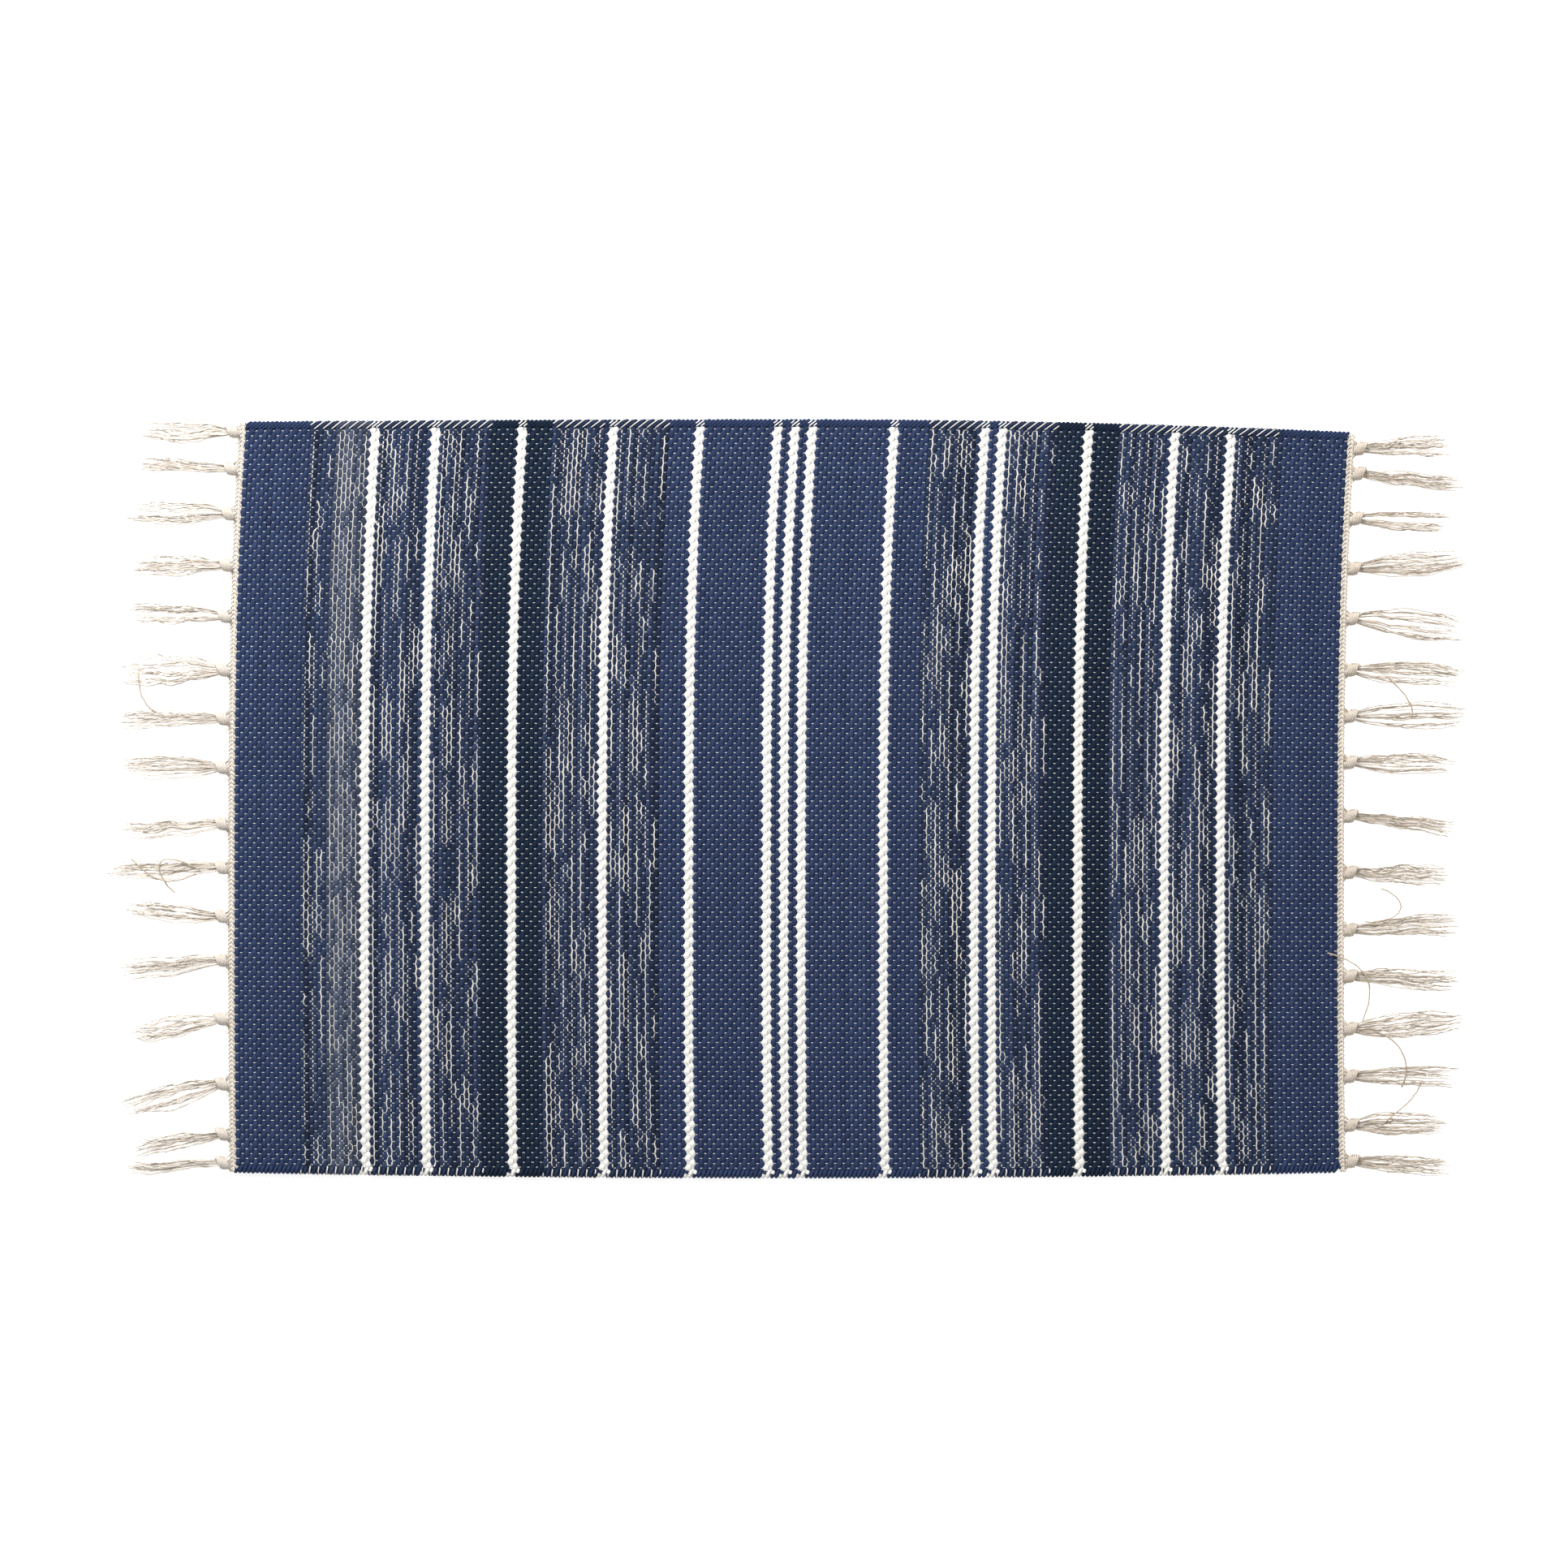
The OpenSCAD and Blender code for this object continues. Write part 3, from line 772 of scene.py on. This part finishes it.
def tasselTree():
    inputs = [("Knot", "NodeSocketVector", None), ("Tip", "NodeSocketVector", None),
              ("Strands", "NodeSocketInt", 20), ("Points", "NodeSocketInt", 30),
              ("Radius", "NodeSocketFloat", 0.0006),
              ("Fan Length", "NodeSocketFloat", 0.005), ("Fan Half", "NodeSocketFloat", 0.007),
              ("Neck Half", "NodeSocketFloat", 0.0017), ("Tip Half", "NodeSocketFloat", 0.007),
              ("Waviness", "NodeSocketFloat", 0.002), ("Belly", "NodeSocketFloat", 0.002),
              ("Kink", "NodeSocketFloat", 0.0006), ("Seed", "NodeSocketInt", 0),
              ("Knot Radius", "NodeSocketFloat", 0.003), ("Knot Yarn", "NodeSocketFloat", 0.0012),
              ("Knot Turns", "NodeSocketInt", 3), ("Knot Length", "NodeSocketFloat", 0.005),
              ("Yarn", "NodeSocketMaterial", None)]
    tree, given, result = newTree("knottedTassel", inputs, [("Geometry", "NodeSocketGeometry")])
    knotX, knotY, knotZ = splitPoint(tree, given["Knot"])
    tipX, tipY, _ = splitPoint(tree, given["Tip"])
    side = calc(tree, "SIGN", knotX)

    def scatter(low, high, offset):
        seed = calc(tree, "ADD", given["Seed"], float(offset))
        node = addNode(tree, "FunctionNodeRandomValue", {"ID": copy, "Seed": seed}, data_type="FLOAT")
        return mixed(tree, node.outputs[1], low, high)

    curve, copy, along = strandLine(tree, given["Points"], given["Strands"])
    spread = scatter(-1.0, 1.0, 1)
    stack = scatter(-1.0, 1.0, 2)
    reach = scatter(0.9, 1.1, 3)
    longWay = calc(tree, "MULTIPLY", calc(tree, "ABSOLUTE", calc(tree, "SUBTRACT", tipX, knotX)), reach)
    d = calc(tree, "SUBTRACT", calc(tree, "MULTIPLY", along, calc(tree, "ADD", longWay, given["Fan Length"])),
             given["Fan Length"])
    fanShare = calc(tree, "MINIMUM", 1.0, calc(tree, "MAXIMUM", 0.0, calc(tree, "DIVIDE",
                    calc(tree, "MULTIPLY", d, -1.0), given["Fan Length"])))
    freeShare = calc(tree, "MAXIMUM", 0.0, calc(tree, "DIVIDE", d, longWay))
    loosen = calc(tree, "POWER", freeShare, 0.55)
    half = mixed(tree, loosen, given["Neck Half"], given["Tip Half"])
    half = mixed(tree, fanShare, half, given["Fan Half"])
    sway = wander(tree, d, 42.0, copy, 3.3, calc(tree, "MULTIPLY", given["Seed"], 1.7), detail=1.5)
    bundle = wobble(tree, point(tree, calc(tree, "MULTIPLY", d, 30.0), 0.0,
                                calc(tree, "MULTIPLY", given["Seed"], 2.9)), 1.0)
    swayZ = wander(tree, d, 60.0, copy, 4.7, calc(tree, "MULTIPLY_ADD", given["Seed"], 1.7, 50.0))
    free = calc(tree, "MINIMUM", 1.0, calc(tree, "MULTIPLY", freeShare, 3.0))
    wave = calc(tree, "MULTIPLY", calc(tree, "MULTIPLY", sway, free),
                calc(tree, "MULTIPLY", given["Waviness"], 3.4))
    bow = calc(tree, "SINE", calc(tree, "MULTIPLY", freeShare, math.pi))
    bulge = calc(tree, "MULTIPLY", calc(tree, "MULTIPLY", spread, bow), given["Belly"])
    wave = calc(tree, "ADD", wave, bulge)
    kink = wander(tree, d, 210.0, copy, 9.1, calc(tree, "MULTIPLY", given["Seed"], 0.7))
    wave = calc(tree, "ADD", wave, calc(tree, "MULTIPLY", calc(tree, "MULTIPLY", kink, free), given["Kink"]))
    swerve = calc(tree, "MULTIPLY", calc(tree, "MULTIPLY", bundle, free),
                  calc(tree, "MULTIPLY", given["Waviness"], 3.2))
    line = mixed(tree, freeShare, knotY, tipY)
    y = calc(tree, "ADD", calc(tree, "MULTIPLY_ADD", spread, half, line), calc(tree, "ADD", wave, swerve))
    x = calc(tree, "MULTIPLY_ADD", d, side, knotX)
    lieMiddle, lieSpread = tassel["lieHeight"]
    lie = calc(tree, "MULTIPLY_ADD", stack, lieSpread, lieMiddle)
    lie = calc(tree, "MAXIMUM", calc(tree, "MULTIPLY_ADD", swayZ, tassel["lieSway"], lie),
               calc(tree, "MULTIPLY", given["Radius"], 1.1))
    fromKnot = calc(tree, "DIVIDE", calc(tree, "ABSOLUTE", d), tassel["knotPull"])
    atKnot = calc(tree, "SUBTRACT", 1.0, calc(tree, "MINIMUM", 1.0, fromKnot))
    knotHeight = calc(tree, "MULTIPLY_ADD", stack, tassel["knotHeightSpread"], knotZ)
    z = mixed(tree, atKnot, lie, knotHeight)
    rootMiddle, rootSpread = tassel["rootHeight"]
    z = mixed(tree, fanShare, z, calc(tree, "MULTIPLY_ADD", stack, rootSpread, rootMiddle))
    thinned = calc(tree, "MULTIPLY", calc(tree, "POWER", freeShare, 6.0), tassel["tipTaper"])
    taper = calc(tree, "SUBTRACT", 1.0, thinned)
    radius = calc(tree, "MULTIPLY", given["Radius"], taper)
    radius = calc(tree, "MULTIPLY", radius, scatter(0.75, 1.25, 4))
    toned = addNode(tree, "GeometryNodeStoreNamedAttribute",
                    {"Geometry": curve, "Name": "tone", "Value": scatter(-0.6, 0.6, 5)},
                    data_type="FLOAT", domain="POINT")
    strands = strandMesh(tree, toned.outputs[0], point(tree, x, y, z), radius, 5, 1.0, given["Yarn"])

    coilPoints = calc(tree, "MULTIPLY_ADD", given["Knot Turns"], tassel["knotPointsPerTurn"], 1.0)
    coil, _, round_ = strandLine(tree, coilPoints, 1)
    angle = calc(tree, "MULTIPLY", calc(tree, "MULTIPLY", round_, given["Knot Turns"]), 2 * math.pi)
    fat = calc(tree, "SINE", calc(tree, "MULTIPLY_ADD", round_, 2.2, 0.47))
    girth = calc(tree, "MULTIPLY", given["Knot Radius"], calc(tree, "MULTIPLY_ADD", fat, 0.35, 0.65))
    shift = calc(tree, "MULTIPLY", calc(tree, "SUBTRACT", round_, 0.5), given["Knot Length"])
    shift = calc(tree, "MULTIPLY_ADD", calc(tree, "COSINE", angle), tassel["knotSlant"], shift)
    coilX = calc(tree, "MULTIPLY_ADD", shift, side, knotX)
    coilY = calc(tree, "MULTIPLY_ADD", calc(tree, "COSINE", angle), girth, knotY)
    height = calc(tree, "MULTIPLY", girth, tassel["knotFlatness"])
    coilZ = calc(tree, "MULTIPLY_ADD", calc(tree, "SINE", angle), height, knotZ)
    wrap = strandMesh(tree, coil, point(tree, coilX, coilY, coilZ), given["Knot Yarn"], 8, 1.0, given["Yarn"])
    both = addNode(tree, "GeometryNodeJoinGeometry")
    tree.links.new(strands, both.inputs[0])
    tree.links.new(wrap, both.inputs[0])
    finishTree(tree, both.outputs[0], result)
    return tree


knottedTassel = tasselTree()


# single threads pulled loose from a few tassels: the start, two pulls and the end of a gentle curve
strayYarn = {"radius": 0.0006, "kink": 0.0016}
strayThreads = {
    "tassel_right_6": [((0.4795, 0.098, 0.002), (0.495, 0.087, 0.004),
                        (0.506, 0.070, 0.003), (0.500, 0.064, 0.001))],
    "tassel_right_9": [((0.4765, -0.072, 0.002), (0.500, -0.080, 0.005),
                        (0.497, -0.1, 0.004), (0.463, -0.0985, 0.002))],
    "tassel_right_11": [((0.461, -0.178, 0.003), (0.473, -0.150, 0.006),
                         (0.467, -0.132, 0.0065), (0.433, -0.1235, 0.0055))],
    "tassel_right_13": [((0.459, -0.186, 0.003), (0.484, -0.182, 0.005),
                         (0.505, -0.208, 0.004), (0.493, -0.231, 0.001))],
    "tassel_right_15": [((0.474, -0.264, 0.002), (0.492, -0.247, 0.006),
                         (0.504, -0.240, 0.004), (0.508, -0.228, 0.001))],
    "tassel_left_6": [((-0.518, 0.1, 0.002), (-0.519, 0.082, 0.005),
                       (-0.509, 0.07, 0.003), (-0.502, 0.068, 0.001))],
    "tassel_left_10": [((-0.468, -0.058, 0.004), (-0.497, -0.039, 0.005),
                        (-0.515, -0.050, 0.004), (-0.489, -0.0755, 0.002)),
                       ((-0.472, -0.06, 0.004), (-0.497, -0.072, 0.005),
                        (-0.507, -0.065, 0.004), (-0.524, -0.048, 0.002))],
}


def strayTree():
    inputs = [("Start", "NodeSocketVector", None), ("Start Pull", "NodeSocketVector", None),
              ("End Pull", "NodeSocketVector", None), ("End", "NodeSocketVector", None),
              ("Radius", "NodeSocketFloat", 0.0003), ("Kink", "NodeSocketFloat", 0.0008),
              ("Yarn", "NodeSocketMaterial", None)]
    tree, given, result = newTree("strayThread", inputs, [("Geometry", "NodeSocketGeometry")])
    bend = addNode(tree, "GeometryNodeCurvePrimitiveBezierSegment",
                   {"Start": given["Start"], "Start Handle": given["Start Pull"],
                    "End Handle": given["End Pull"], "End": given["End"], "Resolution": 34})
    rings = addNode(tree, "GeometryNodeResampleCurve", {"Curve": bend.outputs[0], "Count": 36})
    x, y, z = splitPoint(tree, addNode(tree, "GeometryNodeInputPosition").outputs[0])
    there = point(tree, calc(tree, "MULTIPLY", x, 150.0), calc(tree, "MULTIPLY", y, 150.0), 0.0)
    kinkX = calc(tree, "MULTIPLY_ADD", wobble(tree, there, 1.0), given["Kink"], x)
    kinkY = calc(tree, "MULTIPLY_ADD", wobble(tree, there, 1.3), given["Kink"], y)
    shape = strandMesh(tree, rings.outputs[0], point(tree, kinkX, kinkY, z), given["Radius"], 5, 1.0,
                       given["Yarn"])
    finishTree(tree, shape, result)
    return tree


strayThread = strayTree()
tasselNodes = sorted(n for n in frame["nodes"] if n.startswith("tassel_"))
chance = random.Random(11)
for order, node in enumerate(tasselNodes):
    low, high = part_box(node)
    knot = Vector(joints[node + "_lift"]["pos_m"])
    side = 1 if knot.x > 0 else -1
    tipX = high.x if side > 0 else low.x
    above, below = high.y - knot.y, knot.y - low.y
    tipY = high.y - tassel["tipBoxHalf"] if above > below else low.y + tassel["tipBoxHalf"]
    # the left fringe takes the lighter copy and the right fringe the darker copy of the fringe yarn: painted
    # light from the left
    piece = grow(node + "_strands", knottedTassel, {
        "Knot": tuple(knot), "Tip": (tipX, tipY, 0.0), "Strands": tassel["strands"],
        "Points": tassel["points"], "Radius": tassel["strandRadius"], "Fan Length": tassel["fanLength"],
        "Fan Half": tassel["fanHalf"], "Neck Half": tassel["neckHalf"],
        "Tip Half": chance.uniform(*tassel["tipHalf"]), "Waviness": chance.uniform(*tassel["waviness"]),
        "Belly": chance.uniform(*tassel["belly"]), "Kink": tassel["kink"],
        "Seed": order * 7 + 3, "Knot Radius": tassel["knotRadius"],
        "Knot Yarn": tassel["knotYarn"], "Knot Turns": tassel["knotTurns"],
        "Knot Length": tassel["knotLength"], "Yarn": yarns["fringeLitLeft" if side < 0 else "fringeShadedRight"]})
    loose = [grow(node + "_stray", strayThread, {
        "Start": start, "Start Pull": pull, "End Pull": pullEnd, "End": end,
        "Radius": strayYarn["radius"], "Kink": strayYarn["kink"], "Yarn": yarns["stray"]})
        for start, pull, pullEnd, end in strayThreads.get(node, ())]
    piece = joined(piece.name, [piece, *loose])
    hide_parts(node)
    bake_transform(piece)
print("stage: tassels tied")


# the hidden ground of the cloth, as one thin slab inside the yarns

ground = {"thickness": 0.0008, "inset": 0.0058, "stepsAcross": 48}


def groundCloth():
    stations = [-headingX, mat["weftStart"]]
    colours = ["cream"]
    for yarn, picks, node in stripesLeft + stripesRight:
        steps = max(1, picks // 2)
        for step in range(steps):
            stations.append(stations[-1] + picks * mat["pickPitch"] / steps)
            colours.append(yarn)
    stations.append(headingX)
    colours.append("cream")
    half = mat["halfWidth"] - ground["inset"]
    rows = ground["stepsAcross"] + 1
    verts, faces, slots = [], [], []
    for z in (middle - ground["thickness"] / 2, middle + ground["thickness"] / 2):
        for x in stations:
            verts += [onOutline(x, half * (2 * j / (rows - 1) - 1), z) for j in range(rows)]
    layer = len(stations) * rows
    names = sorted(set(colours))
    for i in range(len(stations) - 1):
        for j in range(rows - 1):
            a = i * rows + j
            lower = [a, a + 1, a + rows + 1, a + rows]
            faces += [lower, [layer + k for k in reversed(lower)]]
            slots += [names.index(colours[i])] * 2
    rim = [j for j in range(rows)] + [i * rows + rows - 1 for i in range(1, len(stations))]
    rim += [(len(stations) - 1) * rows + j for j in range(rows - 2, -1, -1)]
    rim += [i * rows for i in range(len(stations) - 2, 0, -1)]
    for a, b in zip(rim, rim[1:] + rim[:1]):
        faces.append([b, a, layer + a, layer + b])
        slots.append(0)
    mesh = bpy.data.meshes.new("groundCloth")
    mesh.from_pydata(verts, [], faces)
    for name in names:
        mesh.materials.append(yarns[name])
    mesh.polygons.foreach_set("material_index", slots)
    mesh.update()
    piece = bpy.data.objects.new("groundCloth", mesh)
    bpy.context.scene.collection.objects.link(piece)
    return piece


groundPiece = groundCloth()
bendAtFold(groundPiece)
print("stage: ground cloth made")


# floor, light and camera

stage = {
    "floorColor": (0.93, 0.93, 0.93),
    "floorGlow": 0.55,
    "floorHalf": 14.0,
    "floorDrop": -0.0004,
    "worldStrength": 0.32,
    "softboxes": (("keySoftbox", (-0.9, 2.3, 1.7), 120.0, 0.9), ("fillSoftbox", (1.6, -0.9, 2.6), 22.0, 2.2)),
    "frameWidth": 1.2558,
    "aim": (-0.0016, 0.0117),
    "lens": 90,
    "sensorWidth": 36,
}


def makeStage():
    mesh = bpy.data.meshes.new("floor")
    size, drop = stage["floorHalf"], stage["floorDrop"]
    mesh.from_pydata([(-size, -size, drop), (size, -size, drop), (size, size, drop), (-size, size, drop)],
                     [], [(0, 1, 2, 3)])
    floor = bpy.data.objects.new("floor", mesh)
    material = bpy.data.materials.new("paleFloor")
    material.use_nodes = True
    shader = material.node_tree.nodes["Principled BSDF"]
    shader.inputs["Base Color"].default_value = (*stage["floorColor"], 1)
    shader.inputs["Roughness"].default_value = 1.0
    shader.inputs["Specular IOR Level"].default_value = 0.0
    shader.inputs["Emission Color"].default_value = (1, 1, 1, 1)
    shader.inputs["Emission Strength"].default_value = stage["floorGlow"]
    mesh.materials.append(material)
    bpy.context.scene.collection.objects.link(floor)
    floor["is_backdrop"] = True

    world = bpy.data.worlds.new("studio")
    world.use_nodes = True
    world.node_tree.nodes["Background"].inputs["Color"].default_value = (1, 1, 1, 1)
    world.node_tree.nodes["Background"].inputs["Strength"].default_value = stage["worldStrength"]
    bpy.context.scene.world = world

    for name, spot, power, width in stage["softboxes"]:
        data = bpy.data.lights.new(name, "AREA")
        data.energy, data.size = power, width
        lamp = bpy.data.objects.new(name, data)
        lamp.location = spot
        lamp.rotation_euler = (-Vector(spot)).to_track_quat("-Z", "Y").to_euler()
        bpy.context.scene.collection.objects.link(lamp)

    data = bpy.data.cameras.new("camera")
    data.lens, data.sensor_width = stage["lens"], stage["sensorWidth"]
    distance = stage["frameWidth"] * data.lens / data.sensor_width
    camera = bpy.data.objects.new("camera", data)
    camera.location = (*stage["aim"], distance)
    data.clip_end = 50
    bpy.context.scene.collection.objects.link(camera)
    bpy.context.scene.camera = camera
    bpy.context.scene.view_settings.view_transform = "Standard"


makeStage()
print("stage: studio ready")

low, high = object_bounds()
